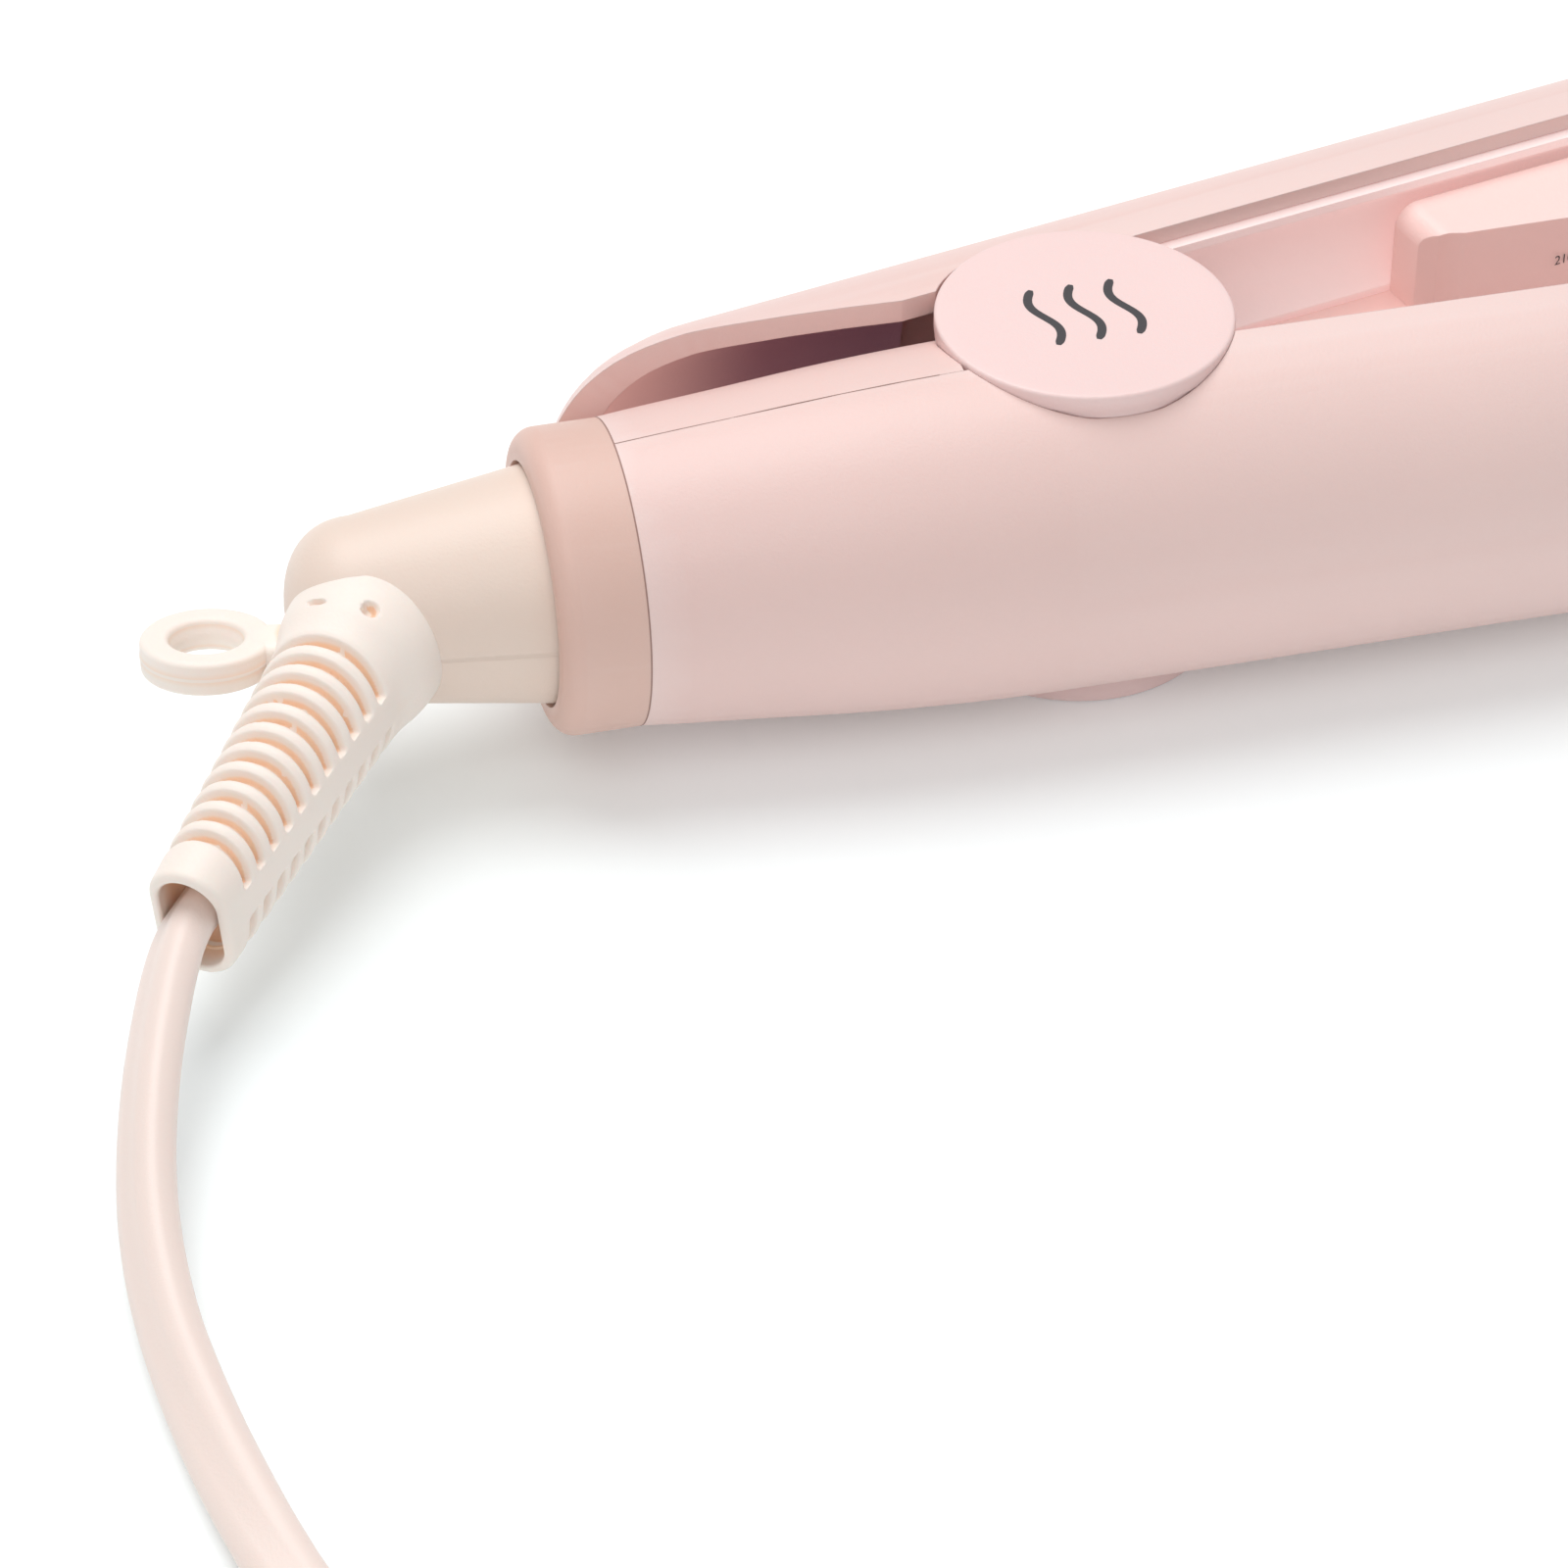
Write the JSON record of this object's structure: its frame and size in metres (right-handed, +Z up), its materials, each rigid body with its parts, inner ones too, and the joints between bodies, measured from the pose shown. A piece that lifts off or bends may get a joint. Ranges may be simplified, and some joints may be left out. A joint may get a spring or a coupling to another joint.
{
  "type": "hair straightener",
  "caption": "Hair straightener lying open on its side: two hinged half-round arms with heated plates, a control pod, and a swivel cord with its plug.",
  "frame": {"origin": "centre of the underside hinge disc's resting face, where the hinge axis meets the table", "axes": "+Z up along the hinge axis with the iron lying on its side; +X along the main arm from the cord end to the tip; +Y from the main arm towards the other arm"},
  "size_m": [0.4439, 0.3324, 0.045],
  "materials": {
    "shell_pink": "soft satin blush plastic",
    "collar_beige": "satin beige-pink plastic",
    "disc_pink": "semi-gloss pale pink plastic",
    "hub_cream": "satin cream plastic",
    "relief_peach": "soft matte elastomer",
    "cord_pink": "soft vinyl cord",
    "pod_pink": "semi-gloss pink plastic",
    "bed_rose": "heat-resistant moulded plastic",
    "plate_rose": "smooth rose titanium-coated plate",
    "ceramic": "bare ceramic",
    "steel": "plain steel",
    "brass": "plain brass",
    "silicone": "translucent silicone",
    "board": "circuit board",
    "components": "moulded components",
    "lens": "clear lens",
    "frame_grey": "glass-filled nylon"
  },
  "bodies": {
    "root": {"main_shell": "shell_pink", "rear_cover": "shell_pink", "end_collar": "collar_beige", "inner_cover_a": "shell_pink", "tip_cap_a": "shell_pink", "plate_bed_a": "bed_rose", "float_pads_a": "silicone", "bed_screws_a": "steel", "circuit_board": "board", "board_parts": "components", "brush_block": "frame_grey", "hinge_disc_top": "disc_pink", "hinge_disc_bottom": "disc_pink", "hinge_frame_a": "frame_grey", "hinge_pin": "steel", "hinge_spring": "steel", "cord_tube": "cord_pink", "cord_coil": "cord_pink", "coil_tie": "silicone", "plug_body": "cord_pink", "plug_blades": "brass"},
    "arm_b": {"arm_b_shell": "shell_pink", "hinge_frame_b": "frame_grey", "inner_cover_b": "shell_pink", "tip_cap_b": "shell_pink", "plate_bed_b": "bed_rose", "float_pads_b": "silicone", "bed_screws_b": "steel", "control_pod": "pod_pink", "control_board": "board", "indicator_lenses": "lens"},
    "plate_a_float": {"plate_a": "plate_rose", "heater_a": "ceramic", "thermal_fuse": "steel"},
    "plate_b_float": {"plate_b": "plate_rose", "heater_b": "ceramic"},
    "minus_press": {"minus_button": "disc_pink"},
    "power_press": {"power_button": "disc_pink"},
    "plus_press": {"plus_button": "disc_pink"},
    "swivel": {"hub_upper": "hub_cream", "hub_lower": "hub_cream", "contact_drum": "frame_grey", "contact_rings": "brass", "strain_relief": "relief_peach", "cord_stub": "cord_pink"}
  },
  "joints": [
    {"name": "arm_hinge", "type": "hinge", "parent": "root", "child": "arm_b", "pos_m": [0, 0, 0.0225], "axis": [0, 0, -1], "range_deg": [0, 12.5], "stiffness_Nm_per_rad": 0.5, "springref_deg": -34.38},
    {"name": "plate_a_slide", "type": "slide", "parent": "root", "child": "plate_a_float", "axis": [0, -1, 0], "range_m": [0, 0.001], "stiffness_N_per_m": 3000, "springref_m": -0.0005},
    {"name": "plate_b_slide", "type": "slide", "parent": "arm_b", "child": "plate_b_float", "axis": [-0.2164, 0.9763, 0], "range_m": [0, 0.001], "stiffness_N_per_m": 3000, "springref_m": -0.0005},
    {"name": "minus_travel", "type": "slide", "parent": "arm_b", "child": "minus_press", "axis": [-0.2164, 0.9763, 0], "range_m": [0, 0.0006], "stiffness_N_per_m": 600, "springref_m": -0.0005},
    {"name": "power_travel", "type": "slide", "parent": "arm_b", "child": "power_press", "axis": [-0.2164, 0.9763, 0], "range_m": [0, 0.0006], "stiffness_N_per_m": 600, "springref_m": -0.0005},
    {"name": "plus_travel", "type": "slide", "parent": "arm_b", "child": "plus_press", "axis": [-0.2164, 0.9763, 0], "range_m": [0, 0.0006], "stiffness_N_per_m": 600, "springref_m": -0.0005},
    {"name": "cord_swivel", "type": "hinge", "parent": "root", "child": "swivel", "pos_m": [-0.07, -0.0075, 0.0225], "axis": [1, 0, 0], "continuous": true}
  ]
}
